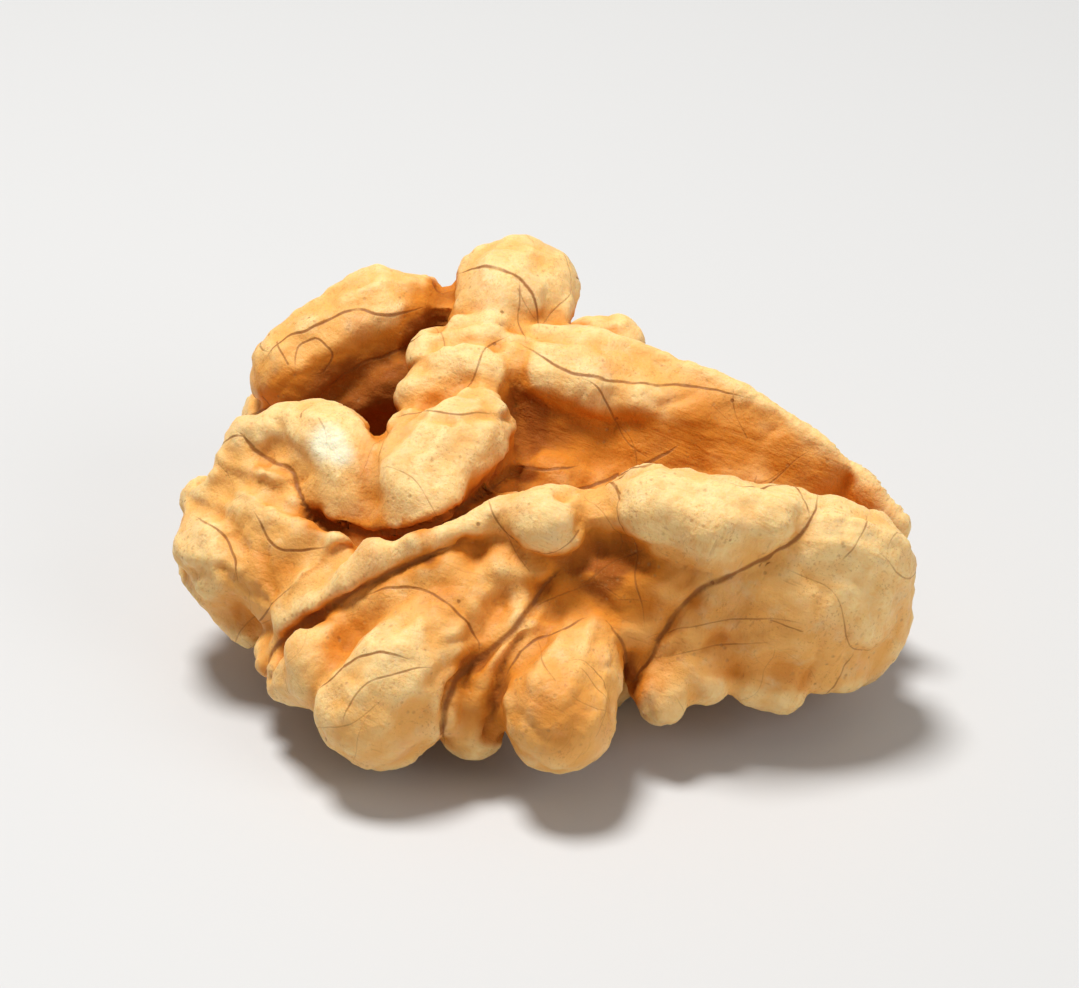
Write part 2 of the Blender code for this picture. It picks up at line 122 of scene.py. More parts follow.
# Where the skin swells out, to fill a gap or to make a lobe fuller, as (across, up, radius, height).
SWELLINGS = [
    # the shoulder, one lobe down to the finger
    (-5.4, 6.2, 0.9, 0.4), (-4.2, 6.2, 0.9, 0.5), (-3.0, 6.3, 0.9, 0.4),
    # the ridge along the top of the wing
    (0.3, 5.7, 1.3, 0.4), (2.7, 4.8, 1.3, 0.5), (5.0, 4.4, 1.3, 0.3),
    # the feet of the curl and of the finger
    (-8.6, -0.9, 1.0, 0.4), (-6.9, -1.0, 0.9, 0.4), (-5.2, -0.6, 1.2, 0.55), (-3.9, 0.0, 0.9, 0.3),
    # the cheek, close under them, and the ribbon behind the lip
    (-13.3, -0.3, 1.1, 0.5), (-12.0, -0.9, 1.1, 0.45), (-10.6, -2.2, 1.2, 0.4), (-8.8, -2.9, 1.1, 0.45),
    (-6.9, -3.0, 1.0, 0.4), (-5.0, -2.6, 0.9, 0.3), (-10.2, -4.4, 1.2, 0.45), (-8.2, -4.0, 1.0, 0.4),
    (-12.4, 1.0, 0.9, 0.3), (-11.6, -5.4, 0.9, 0.3), (-10.4, -4.1, 0.9, 0.3), (-9.0, -3.0, 0.8, 0.25),
    # the lobe at the front, close under the lip
    (-10.6, -7.0, 1.0, 0.35), (-9.0, -5.9, 1.0, 0.35), (-6.8, -4.6, 1.0, 0.35), (-4.6, -3.6, 1.0, 0.3),
    # the two bulges of the rim
    (0.4, -1.3, 1.3, 0.35), (4.9, -1.0, 1.4, 0.35), (7.8, -1.5, 1.6, 0.5), (10.4, -1.0, 1.3, 0.35),
    # the field under them
    (3.6, -5.7, 1.1, 0.2),
]

# Where pits are smoothed out of the skin, as (across, up, radius, share).
SMOOTHED = [
    (4.9, -5.8, 1.6, 1.0), (-11.2, -4.2, 1.3, 1.0), (-9.6, -3.2, 1.1, 0.8), (-13.4, 0.2, 1.2, 0.7),
    (-8.4, -1.2, 0.9, 0.6), (-5.6, -1.0, 0.9, 0.6), (-3.6, -11.4, 0.8, 0.8), (-14.0, -4.6, 1.2, 0.6),
    (-4.4, 6.3, 1.1, 0.8), (-2.8, 6.4, 1.0, 0.8),
]

# Where the skin is drawn across and up along the sheet, as (across, up, radius, way across, way up).
PULLS = [
    # the curl and the finger down, and the cheek up, so that they meet in a thin line
    (-9.6, -0.2, 1.2, 0.0, -0.45), (-8.2, -0.9, 1.2, 0.0, -0.5), (-6.8, -1.1, 1.2, 0.0, -0.5),
    (-5.4, -0.9, 1.2, 0.05, -0.5), (-4.1, -0.1, 1.0, 0.1, -0.4),
    (-10.4, -2.3, 1.1, 0.05, 0.45), (-9.0, -2.9, 1.1, 0.0, 0.5), (-7.4, -3.1, 1.1, 0.0, 0.45),
    (-5.6, -3.0, 1.0, 0.0, 0.4), (-4.0, -2.3, 0.9, 0.0, 0.25),
]

# Veins of the septum side: half width, and their route on the sheet.
DRAWN_VEINS = {
    "knob": (0.09, [(-3.7, 10.8), (-2.4, 11.0), (-0.9, 10.4), (0.0, 9.2), (0.2, 7.9)]),
    "wing_back": (0.08, [(-0.9, 7.2), (0.6, 6.2), (1.9, 5.6), (4.3, 5.2), (7.6, 5.0), (10.3, 4.4)]),
    "curl": (0.1, [(-13.9, 2.8), (-12.8, 1.75), (-11.3, 0.97), (-11.0, 0.2), (-10.2, -1.06), (-9.0, -1.6)]),
    "under_curl": (
        0.13,
        [(-9.2, -1.5), (-8.6, -1.7), (-6.75, -1.9), (-4.9, -1.5), (-3.3, -0.6), (-1.2, 0.8)],
    ),
    "lip": (0.13, [(-12.6, -8.8), (-11.9, -7.2), (-11.1, -6.4), (-9.4, -5.2), (-6.5, -3.6), (-3.3, -2.2)]),
    "strip": (
        0.12,
        [(-4.1, -11.2), (-3.9, -9.4), (-3.4, -8.2), (-2.1, -7.1), (-0.6, -5.7), (0.4, -4.2), (1.4, -3.2)],
    ),
    "plate": (
        0.11,
        [
            (4.2, -8.8), (5.2, -7.4), (5.9, -6.0), (7.0, -4.6), (7.9, -4.05), (9.8, -3.1), (11.7, -1.9),
            (12.4, -0.9), (12.7, 0.2),
        ],
    ),
    "plate_fork": (0.04, [(14.9, -1.2), (14.3, -2.2), (13.6, -3.0)]),
    "plate_line": (0.035, [(4.6, -6.6), (7.0, -6.0), (9.6, -5.6), (12.4, -5.9)]),
    "plate_line_low": (0.03, [(5.4, -7.5), (8.0, -6.9), (11.0, -6.6)]),
    "bulge": (0.08, [(1.9, 0.1), (3.2, 0.5), (4.3, 1.0), (5.6, 1.5), (6.9, 2.3)]),
    "hollow": (0.07, [(-0.6, 1.25), (0.7, 1.1), (1.9, 1.25)]),
    "finger": (0.045, [(-6.7, 3.5), (-5.2, 3.75), (-3.4, 3.6), (-1.5, 3.7)]),
    "crown_ring": (
        0.045,
        [(-11.6, 6.0), (-11.5, 7.0), (-10.6, 7.4), (-9.9, 6.8), (-10.2, 5.9), (-11.1, 5.6)],
    ),
    "crown": (0.07, [(-5.2, 9.2), (-7.0, 8.6), (-8.8, 8.9), (-10.4, 8.2), (-12.2, 7.4), (-13.4, 6.2)]),
    "crown_low": (0.07, [(-5.4, 7.6), (-7.2, 6.7), (-8.6, 6.2), (-10.2, 5.0)]),
    "lobe": (0.06, [(-7.6, -4.6), (-5.8, -4.2), (-4.0, -4.8), (-2.6, -6.4), (-2.5, -7.4)]),
    "lobe_low": (0.06, [(-9.6, -8.8), (-8.3, -7.6), (-6.9, -7.0), (-5.3, -7.3)]),
    "cheek": (0.06, [(-15.9, -1.2), (-14.8, -1.7), (-13.9, -2.9), (-13.7, -4.2)]),
    "cheek_mid": (0.06, [(-12.9, -1.0), (-12.2, -2.2), (-11.0, -2.7), (-9.4, -2.5)]),
    "thumb": (0.06, [(2.2, -5.6), (0.9, -6.2), (-0.6, -7.0), (-1.4, -8.4)]),
    "bead": (0.06, [(3.3, -5.9), (4.0, -7.0), (4.1, -8.2)]),
}

# A drawn vein is shaky. The others grow over the skin by themselves.
SHAKE = 0.1
GROWN_VEINS = 170
VEIN_STEP = 0.14 * MM
VEIN_WANDER = 0.022  # radians a step
VEIN_GAP = 0.7 * MM  # the least way between two veins of one set
VEIN_SETS = 4
VEIN_REACH = 1.0 * MM  # how far from a vein its map goes
LONGEST_HOP = 1.0 * MM  # past this a dropped line has left one lobe for the next, and no vein is shown
SEED = 23

# How much of the sky the kernel hides is felt out with rays from just above the skin.
SHELTER_RAYS = 40
SHELTER_REACH = 9 * MM
SHELTER_START = 0.15 * MM

# The smooth, streaky hollow of the wing, as (across, up, radius).
SATIN_SPOTS = [
    (0.4, 3.4, 2.0), (2.5, 2.9, 1.9), (4.8, 2.9, 1.7), (7.2, 2.7, 1.7), (9.6, 2.4, 1.6), (11.8, 1.7, 1.4),
    (13.8, 0.9, 1.2), (15.6, -0.4, 1.0), (1.0, 1.4, 1.2),
]
SATIN_SOFTNESS = 0.5
WING_SLOPE = radians(-24)  # how the wing's streaks fall towards its tip

# Where a highlight is painted on the curl, as (across, up, radius).
PAINTED_HIGHLIGHT_SPOTS = [(-9.6, 2.3, 1.3), (-9.0, 1.8, 0.9)]
PAINTED_HIGHLIGHT_SOFTNESS = 0.7

# Where the skin is painted paler (below 0) or browner (above 0) than its shape alone would make it: mostly
# painted light and painted shade, partly the skin's own tone. As (across, up, radius, tone).
PALEST = -0.45
BROWNEST = 0.9
LIGHT_SHADE_AND_TONE = [
    # the hollow of the wing
    (0.6, 3.0, 1.6, 0.45), (2.2, 2.3, 1.5, 0.25), (4.5, 2.3, 1.7, 0.25), (7.0, 2.4, 1.8, 0.1),
    (14.5, 0.6, 1.3, -0.15), (16.2, -0.6, 1.0, -0.2),
    # the recess between crown and spine, and the crown's shaded foot
    (-8.0, 4.8, 1.8, 0.5), (-10.0, 4.5, 1.4, 0.3), (-6.6, 5.2, 1.2, 0.5), (-7.2, 3.2, 1.0, 0.5),
    (-12.0, 5.6, 1.8, 0.3), (-10.0, 6.0, 1.4, 0.2), (-13.8, 5.5, 1.4, 0.3),
    # under the bulges of the rim, and between the lobes at the front
    (1.5, -3.6, 1.4, 0.5), (3.5, -4.0, 1.6, 0.75), (5.5, -4.4, 1.4, 0.25), (4.8, -6.0, 1.4, 0.2),
    (-2.0, -9.0, 1.2, 0.25), (-2.4, -7.6, 1.1, 0.3), (-3.2, -10.6, 1.2, 0.15), (4.0, -7.8, 0.9, 0.45),
    (-12.4, -8.4, 1.2, 0.45),
    # the plate
    (11.0, -5.5, 2.8, 0.2), (9.0, -6.5, 2.4, 0.2), (12.5, -8.0, 2.0, 0.12), (14.5, -7.6, 1.6, 0.1),
    # the hollow under the lip, and the cheek
    (-10.8, -7.2, 1.4, 0.35), (-8.5, -6.0, 1.4, 0.25), (-6.0, -4.6, 1.2, 0.2), (-3.6, -4.2, 1.2, 0.3),
    (-12.3, -3.8, 1.8, 0.45), (-11.0, -1.8, 1.4, 0.1), (-13.8, -5.6, 1.2, 0.25), (-9.0, -3.0, 1.5, -0.2),
    (-6.5, -3.2, 1.3, -0.2), (-4.2, -5.0, 1.4, 0.25), (1.0, -9.6, 2.6, 0.65), (5.7, -8.8, 1.2, 0.15),
    (-7.0, -10.8, 2.4, 0.12),
    # round the knob
    (-5.6, 9.0, 1.5, 0.35), (-5.4, 10.8, 1.2, 0.3),
    # the lobes, most of them painted paler, and the back of the wing
    (-1.0, 10.6, 2.6, -0.35), (0.9, 9.6, 1.5, -0.2), (-4.0, 6.6, 1.8, -0.3), (-9.0, 8.2, 1.8, 0.15),
    (-4.0, 1.6, 2.0, -0.15), (-9.6, 2.2, 1.4, -0.4), (-12.8, 2.9, 1.5, -0.4), (0.8, -1.4, 1.6, -0.2),
    (5.5, -0.3, 2.0, -0.3), (3.0, 4.8, 1.2, -0.35), (5.5, 4.4, 1.2, -0.15), (8.0, 3.9, 1.6, 0.4),
    (11.0, 2.8, 1.4, 0.2), (8.0, -1.0, 2.2, -0.3), (12.0, -1.6, 2.6, -0.35), (15.0, -3.4, 2.2, -0.35),
    (16.0, -5.5, 1.8, -0.15), (-6.8, -8.4, 1.9, -0.2), (-5.4, -6.4, 1.3, -0.15), (1.0, 5.9, 1.5, -0.15),
    (-15.5, -1.4, 1.6, -0.2),
]

# What the skin's material knows about each point, besides its veins.
POINT_VALUES = ("shelter", "tone", "crease", "hollow", "crest", "satin", "rubbed")

CREAM = (0.94, 0.65, 0.28, 1)
TAN = (0.86, 0.43, 0.11, 1)
PINK = (0.84, 0.43, 0.19, 1)
ASHEN = (0.80, 0.60, 0.31, 1)
# The white of the highlight painted on the curl.
HIGHLIGHT_WHITE = (0.98, 0.90, 0.62, 1)
# The painted shade's orange and dark brown; the orange also tints the wing's satin hollow, the brown the dark
# fibres.
SHADE_AND_SATIN_ORANGE = (0.68, 0.22, 0.014, 1)
SHADE_AND_FIBRE_BROWN = (0.28, 0.065, 0.004, 1)
VEIN_BROWN = (0.28, 0.085, 0.012, 1)
STIPPLE_BROWN = (0.45, 0.17, 0.04, 1)
PORE_BROWN = (0.45, 0.22, 0.07, 1)
FLOOR_WHITE = (0.62, 0.615, 0.605, 1)
SKY_WHITE = (1, 1, 1, 1)

# The studio, in metres and watts: each lamp is a round one that faces the kernel, as (place, size, power).
LAMPS = {
    "key": ((-0.07, 0.06, 0.38), 0.12, 1.65),
    "fill": ((0.34, -0.22, 0.22), 0.3, 0.5),
}
SKY_STRENGTH = 0.27
FLOOR_HALF = 0.6
FLOOR_GAP = 0.02 * MM
CAMERA_DISTANCE = 0.128
FOCAL_LENGTH = 90  # millimetres, on a sensor of the width below
SENSOR_WIDTH = 36
NEAREST_SEEN = 0.01


def on_sheet(across, up):
    return SHEET_CENTRE + (ACROSS * across + UP * up) * MM


def smooth_step(low, high, value):
    t = np.clip((value - low) / (high - low), 0.0, 1.0)
    return t * t * (3 - 2 * t)


def linked(name, data):
    obj = bpy.data.objects.new(name, data)
    bpy.context.scene.collection.objects.link(obj)
    return obj


def evaluated_mesh(obj):
    bpy.context.view_layer.update()
    graph = bpy.context.evaluated_depsgraph_get()
    return bpy.data.meshes.new_from_object(obj.evaluated_get(graph))


def fine_skin():
    """A copy of the solid's skin as an even net of small quads."""
    obj = linked("fine_skin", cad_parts[NODE].data.copy())
    weld = obj.modifiers.new("Weld", "WELD")
    weld.merge_threshold = WELD_DISTANCE
    round_off = obj.modifiers.new("Round off", "SUBSURF")
    round_off.levels = ROUNDING_LEVELS
    round_off.render_levels = ROUNDING_LEVELS
    remesh = obj.modifiers.new("Even out", "REMESH")
    remesh.mode = "VOXEL"
    remesh.voxel_size = SKIN_VOXEL
    soften = obj.modifiers.new("Soften", "SMOOTH")
    soften.factor = 0.5
    soften.iterations = SKIN_SMOOTHING
    mesh = evaluated_mesh(obj)
    bpy.data.objects.remove(obj, do_unlink=True)
    mesh.name = "walnut_kernel_skin"
    return mesh


class Skin:
    """The skin's points as arrays, with what the sculpting needs to know about each."""

    def __init__(self, mesh):
        self.mesh = mesh
        self.count = len(mesh.vertices)
        self.places = np.empty((self.count, 3))
        mesh.vertices.foreach_get("co", self.places.ravel())
        edges = np.empty(len(mesh.edges) * 2, dtype=np.int64)
        mesh.edges.foreach_get("vertices", edges)
        self.edges = edges.reshape(-1, 2)
        self.neighbours = np.bincount(edges, minlength=self.count)

    def averaged(self, values, times):
        """Values blended with those of the neighbours, over and over."""
        values = np.array(values, dtype=float)
        columns = values.reshape(self.count, -1)
        first, second = self.edges[:, 0], self.edges[:, 1]
        for _ in range(times):
            for column in range(columns.shape[1]):
                around = np.bincount(first, columns[second, column], self.count)
                around += np.bincount(second, columns[first, column], self.count)
                columns[:, column] = 0.5 * columns[:, column] + 0.5 * around / self.neighbours
        return columns.reshape(values.shape)

    def write_back(self):
        self.mesh.vertices.foreach_set("co", self.places.ravel())
        self.mesh.update()

    def normals(self):
        self.write_back()
        normals = np.empty(self.count * 3, dtype=np.float32)
        self.mesh.vertex_normals.foreach_get("vector", normals)
        return normals.reshape(-1, 3).astype(float)

    def tree(self):
        self.write_back()
        corners = [tuple(place) for place in self.places]
        return BVHTree.FromPolygons(corners, [tuple(face.vertices) for face in self.mesh.polygons])

    def hollowness(self, times):
        """How far each point lies under the average of its surroundings, in metres."""
        return ((self.averaged(self.places, times) - self.places) * self.normals()).sum(axis=1)

    def noise(self, size, offset=0.0):
        """Smooth noise between about -1 and 1, in lumps of the given size."""
        shift = Vector((offset, offset * 0.7, -offset))
        return np.array([noise.noise(Vector(place) / size + shift) for place in self.places])

    def move_out(self, distances):
        self.places += self.normals() * distances[:, None]

    def attribute(self, name, values):
        kind = "FLOAT" if values.ndim == 1 else "FLOAT_VECTOR"
        layer = self.mesh.attributes.new(name, kind, "POINT")
        layer.data.foreach_set("value" if kind == "FLOAT" else "vector", values.astype(np.float32).ravel())


def smooth_line(points, step):
    """Points about a step apart on a smooth curve through the given ones."""
    known = [Vector(point) for point in points]
    ends = [known[0] * 2 - known[1], *known, known[-1] * 2 - known[-2]]
    line = []
    for i in range(len(known) - 1):
        a, b, c, d = ends[i:i + 4]
        pieces = max(1, int((c - b).length / step))
        for piece in range(pieces):
            t = piece / pieces
            square = a * 2 - b * 5 + c * 4 - d
            cube = b * 3 - a - c * 3 + d
            line.append((b * 2 + (c - a) * t + square * t**2 + cube * t**3) / 2)
    return [*line, known[-1]]


def dropped(tree, points):
    """Points of the sheet dropped onto the skin, as (place, normal), without those that miss it."""
    found = []
    for across, up in points:
        start = on_sheet(across, up) + TO_VIEWER * DROP_HEIGHT
        place, normal, _, _ = tree.ray_cast(start, -TO_VIEWER)
        if place is not None:
            found.append((place, normal))
    return found


def search_tree(places):
    tree = KDTree(len(places))
    for i, place in enumerate(places):
        tree.insert(place, i)
    tree.balance()
    return tree


def nearest_of(targets, places, reach):
    """For each place, the index and distance of the nearest target, or -1 and reach if none is that near."""
    index = np.full(len(places), -1)
    distance = np.full(len(places), float(reach))
    if targets:
        tree = search_tree(targets)
        for i, place in enumerate(places):
            _, target, away = tree.find(place)
            if away < reach:
                index[i] = target
                distance[i] = away
    return index, distance


def distances_from(skin, marks):
    """For each mark that hits the skin: how far each point is from it, its radius and its strength."""
    tree = skin.tree()
    for across, up, radius, *strength in marks:
        for place, _ in dropped(tree, [(across, up)]):
            yield np.linalg.norm(skin.places - np.array(place), axis=1) / MM, radius, strength


def spots(skin, marks, softness):
    """1 on the marked spots, falling off to 0 over the outer part of their radius that softness gives."""
    value = np.zeros(skin.count)
    for distance, radius, _ in distances_from(skin, marks):
        value = np.maximum(value, 1 - smooth_step(radius * (1 - softness), radius, distance))
    return value


def marked(skin, marks):
    """The sum of the marks at each point. Each is strongest in its middle and faint past its radius.

    A mark's strength is one number, or a way across and a way up the sheet.
    """
    value = np.zeros(skin.count) if len(marks[0]) == 4 else np.zeros((skin.count, 3))
    for distance, radius, strength in distances_from(skin, marks):
        share = np.exp(-((distance / radius) ** 2))
        if len(strength) == 1:
            value += share * strength[0]
        else:
            value += share[:, None] * np.array(ACROSS * strength[0] + UP * strength[1])
    return value


def carve_creases(skin):
    """Pinches the skin in along the drawn creases. Returns the painted shade they put on each point, from 0
    to 1.
    """
    tree = skin.tree()
    painted_crease_shade = np.zeros(skin.count)
    depth_at = np.zeros(skin.count)
    for depth, width, crease_shade, route in CREASES.values():
        line = [place for place, _ in dropped(tree, smooth_line(route, 0.1))]
        _, distance = nearest_of(line, skin.places, width * MM)
        near = 1.0 - distance / (width * MM)
        pinch = near**1.6
        depth_at = np.maximum(depth_at, pinch * depth * MM)
        painted_crease_shade = np.maximum(painted_crease_shade, pinch * crease_shade)
    skin.move_out(-depth_at)
    return painted_crease_shade


def outer_share(skin):
    """1 on the outer side, which faces away from the sheet, and 0 on the side that faces it."""
    facing = skin.normals() @ np.array(TO_VIEWER)
    return skin.averaged(smooth_step(0.1, -0.4, facing), 10)


def fill_pits(skin):
    share = np.clip(marked(skin, SMOOTHED), 0, 1)
    skin.places += share[:, None] * (skin.averaged(skin.places, PIT_PASSES) - skin.places)


def exaggerate(skin, passes, gain, most_out, most_in):
    """Lifts what stands above its surroundings and sinks what lies below them, each by a limit at most."""
    skin.move_out(-gain * np.clip(skin.hollowness(passes), -most_out, most_in))


def valleys(heights, thinness):
    """1 along the lines where the heights cross 0, falling to 0 beside them, the sooner the thinner."""
    return np.maximum(0, 1 - thinness * np.abs(heights))


def wrinkle(skin, behind):
    """Lumps, folds, wrinkles and grain. The folds are deeper behind, and the wing's hollow stays smoother."""
    satin = spots(skin, SATIN_SPOTS, SATIN_SOFTNESS)
    lumps = 0.24 * skin.noise(3.1 * MM) + 0.15 * skin.noise(1.5 * MM, 5.0)
    folds = valleys(skin.noise(1.6 * MM, 9.0), 3.2) * smooth_step(-0.3, 0.3, skin.noise(4 * MM, 2.0))
    wrinkles = valleys(skin.noise(0.8 * MM, 4.0), 2.6)
    grain = 0.035 * skin.noise(0.55 * MM, 3.0)
    rough = lumps - (0.14 + 0.16 * behind) * folds - 0.06 * wrinkles + grain
    skin.move_out(rough * (1 - 0.75 * satin) * MM)


def sculpt(skin):
    """The fine shape of the skin. Returns the painted shade the drawn creases put on each point, from 0 to 1.
    """
    fill_pits(skin)
    skin.move_out(marked(skin, SWELLINGS) * MM)
    skin.places += marked(skin, PULLS) * MM
    behind = outer_share(skin)
    exaggerate(skin, LOBE_PASSES, 0.9 + behind, 0.3 * MM, (0.2 + 0.2 * behind) * MM)
    painted_crease_shade = carve_creases(skin)
    exaggerate(skin, FOLD_PASSES, 1.0, 0.12 * MM, 0.16 * MM)
    wrinkle(skin, behind)
    return painted_crease_shade


def random_way(source):
    return Vector(source.gauss(0, 1) for _ in range(3))


def shelter(skin):
    """How much of the sky over each point the kernel itself hides, which the skin's colour shows as painted
    shade.

    It is felt out next to the solid's own corners, which are fewer than the skin's points, and each of those
    takes it from the four nearest.
    """
    tree = skin.tree()
    source = random.Random(SEED)
    felt_places = []
    felt = []
    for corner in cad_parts[NODE].data.vertices:
        place, normal, _, _ = tree.find_nearest(corner.co)
        start = place + normal * SHELTER_START
        blocked = 0.0
        for _ in range(SHELTER_RAYS):
            way = (random_way(source).normalized() + normal * 1.02).normalized()
            hit, _, _, away = tree.ray_cast(start, way, SHELTER_REACH)
            if hit is not None:
                blocked += 1 - 0.5 * away / SHELTER_REACH
        felt_places.append(place)
        felt.append(blocked / SHELTER_RAYS)
    felt_tree = search_tree(felt_places)
    values = np.empty(skin.count)
    for i, place in enumerate(skin.places):
        near = felt_tree.find_n(place, 4)
        weights = [1 / (away + 0.1 * MM) for _, _, away in near]
        values[i] = sum(felt[j] * weight for (_, j, _), weight in zip(near, weights)) / sum(weights)
    return skin.averaged(values, 4)


def grown_vein(tree, source, start, normal, length):
    """A vein that wanders over the skin from a starting point, as (place, normal) at each step."""
    heading = random_way(source)
    place = start
    vein = []
    turn = 0.0
    for _ in range(int(length / VEIN_STEP)):
        heading = (heading - normal * heading.dot(normal)).normalized()
        vein.append((place, normal))
        turn = 0.9 * turn + source.gauss(0, VEIN_WANDER)
        heading = heading * cos(turn) + normal.cross(heading) * sin(turn)
        place, normal, _, _ = tree.find_nearest(place + heading * VEIN_STEP)
    return vein


def up_to_next(vein, taken):
    """The vein up to where it meets one of the places already taken. It may start on one."""
    tree = search_tree(taken)
    for i, (place, _) in enumerate(vein):
        if i > 2 and tree.find(place)[2] < VEIN_STEP:
            return vein[:i + 1]
    return vein


def drawn_vein(tree, route):
    line = [Vector(point) for point in smooth_line(route, 0.06)]
    for point in line:
        point.x += SHAKE * noise.noise(Vector((point.x * 1.3, point.y * 1.3, 1.0)))
        point.y += SHAKE * noise.noise(Vector((point.x * 1.3, point.y * 1.3, 7.0)))
    return dropped(tree, line)


def all_veins(skin):
    """Every vein as (half width in millimetres, [(place, normal), ...])."""
    tree = skin.tree()
    source = random.Random(SEED)
    veins = [(half_width, drawn_vein(tree, route)) for half_width, route in DRAWN_VEINS.values()]
    normals = skin.normals()
    taken = [place for _, vein in veins for place, _ in vein]
    for _ in range(GROWN_VEINS):
        start = source.randrange(skin.count)
        length = source.uniform(3.0, 11.0) * MM
        place, normal = Vector(skin.places[start]), Vector(normals[start])
        widening = 2.2 if normal.dot(TO_VIEWER) < -0.1 else 1  # veins are wider behind
        half_width = source.uniform(0.012, 0.045) * widening
        stem = up_to_next(grown_vein(tree, source, place, normal, length), taken)
        forks = [stem[source.randrange(len(stem))] for _ in range(source.choice((0, 0, 1, 2)))]
        branches = [up_to_next(grown_vein(tree, source, *fork, length * 0.5), taken) for fork in forks]
        veins += [(half_width, stem)] + [(half_width * 0.75, branch) for branch in branches]
        taken += [place for vein in (stem, *branches) for place, _ in vein]
    return veins


def sort_into_sets(veins):
    """Puts each vein in the first set whose veins it keeps clear of, so that a set never crosses itself."""
    sets = [[] for _ in range(VEIN_SETS)]
    taken = [[] for _ in range(VEIN_SETS)]
    for half_width, vein in veins:
        if len(vein) < 4:
            continue
        some_points = [place for place, _ in vein[::4]]
        for members, places in zip(sets, taken):
            if places:
                tree = search_tree(places)
                if min(tree.find(place)[2] for place in some_points) < VEIN_GAP:
                    continue
            members.append((half_width, vein))
            places.extend(some_points)
            break
    return sets


def vein_map(skin, members):
    """For each point: how far it is to the side of the nearest vein and from it, and that vein's half width.

    All three are in millimetres. A point that no vein is near gets a half width of 0.
    """
    places, sides, widths = [], [], []
    for half_width, vein in members:
        count = len(vein)
        for i, (place, normal) in enumerate(vein):
            ahead = vein[min(i + 1, count - 1)][0] - vein[max(i - 1, 0)][0]
            if ahead.length == 0 or ahead.length > LONGEST_HOP:
                continue
            places.append(place)
            sides.append(normal.cross(ahead).normalized())
            taper = sin(pi * min(1.0, (i + 4) / count * 4, (count - i + 2) / count * 3) / 2)
            widths.append(half_width * taper * (1 + 0.35 * noise.noise(place / (0.8 * MM))))
    index, distance = nearest_of(places, skin.places, VEIN_REACH)
    values = np.ones((skin.count, 3))
    values[:, 2] = 0.0
    for i in np.flatnonzero(index >= 0):
        target = index[i]
        offset = Vector(skin.places[i]) - places[target]
        values[i] = (offset.dot(sides[target]) / MM, distance[i] / MM, widths[target])
    return values


class Nodes:
    """Short names for building a material's node tree."""

    def __init__(self, material):
        material.use_nodes = True
        self.tree = material.node_tree
        self.shader = self.tree.nodes["Principled BSDF"]

    def new(self, kind, inputs=(), **settings):
        node = self.tree.nodes.new("ShaderNode" + kind)
        for name, value in settings.items():
            setattr(node, name, value)
        for name, value in dict(inputs).items():
            self.join(value, node.inputs[name])
        return node

    def join(self, value, socket):
        if isinstance(value, bpy.types.NodeSocket):
            self.tree.links.new(value, socket)
        else:
            socket.default_value = value

    def math(self, operation, *values):
        node = self.new("Math", operation=operation)
        for value, socket in zip(values, node.inputs):
            self.join(value, socket)
        return node.outputs[0]

    def attribute(self, name):
        return self.new("Attribute", attribute_name=name)

    def noise(self, size, detail=2.0, roughness=0.5, stretch=(1, 1, 1), distortion=0.0):
        """Noise in lumps of the given size in metres, made longer along an axis by a stretch below 1."""
        place = self.new("TexCoord").outputs["Object"]
        if stretch != (1, 1, 1):
            turned = {"Vector": place, "Angle": WING_SLOPE}
            place = self.new("VectorRotate", turned, rotation_type="Y_AXIS").outputs[0]
            place = self.new("Mapping", {"Vector": place, "Scale": stretch}).outputs[0]
        look = {"Scale": 1 / size, "Detail": detail, "Roughness": roughness, "Distortion": distortion}
        return self.new("TexNoise", {"Vector": place, **look}).outputs["Fac"]

    def cells(self, size):
        """How far each point is from the middle of its cell, in cells of the given size."""
        place = self.new("TexCoord").outputs["Object"]
        return self.new("TexVoronoi", {"Vector": place, "Scale": 1 / size}).outputs["Distance"]

    def range(self, value, low, high, new_low=0.0, new_high=1.0):
        inputs = {"Value": value, "From Min": low, "From Max": high, "To Min": new_low, "To Max": new_high}
        return self.new("MapRange", inputs, clamp=True, interpolation_type="SMOOTHSTEP").outputs[0]

    def blend(self, share, first, second):
        node = self.new("Mix", data_type="FLOAT")
        for value, socket in zip((share, first, second), (node.inputs[0], node.inputs[2], node.inputs[3])):
            self.join(value, socket)
        return node.outputs[0]

    def mix(self, share, first, second):
        node = self.new("Mix", data_type="RGBA")
        for value, socket in zip((share, first, second), (node.inputs[0], node.inputs[6], node.inputs[7])):
            self.join(value, socket)
        return node.outputs[2]


def vein_mask(nodes):
    """1 on a vein, 0 off it, from the maps of all the sets."""
    mask = 0.0
    for number in range(VEIN_SETS):
        vein = nodes.attribute(f"veins_{number}").outputs["Vector"]
        side, distance, half_width = nodes.new("SeparateXYZ", {"Vector": vein}).outputs
        some_width = nodes.math("MAXIMUM", half_width, 0.001)
        from_middle = nodes.math("DIVIDE", nodes.math("ABSOLUTE", side), some_width)
        line = nodes.range(from_middle, 0.4, 1.7, 1.0, 0.0)
        near = nodes.range(distance, 0.22, 0.34, 1.0, 0.0)
        shown = nodes.range(half_width, 0.004, 0.06)
        here = nodes.math("MULTIPLY", nodes.math("MULTIPLY", line, near), shown)
        mask = nodes.math("MAXIMUM", here, mask)
    return mask


def mixed_fibres(nodes):
    """Fine fibres, which run with the wing's streaks in some patches and across them in others."""
    along = nodes.noise(0.2 * MM, 2.0, 0.5, (0.09, 1, 1), 0.2)
    across = nodes.noise(0.22 * MM, 2.0, 0.5, (1, 1, 0.12), 0.2)
    return nodes.blend(nodes.range(nodes.noise(5.0 * MM, 1.0), 0.46, 0.56), along, across)


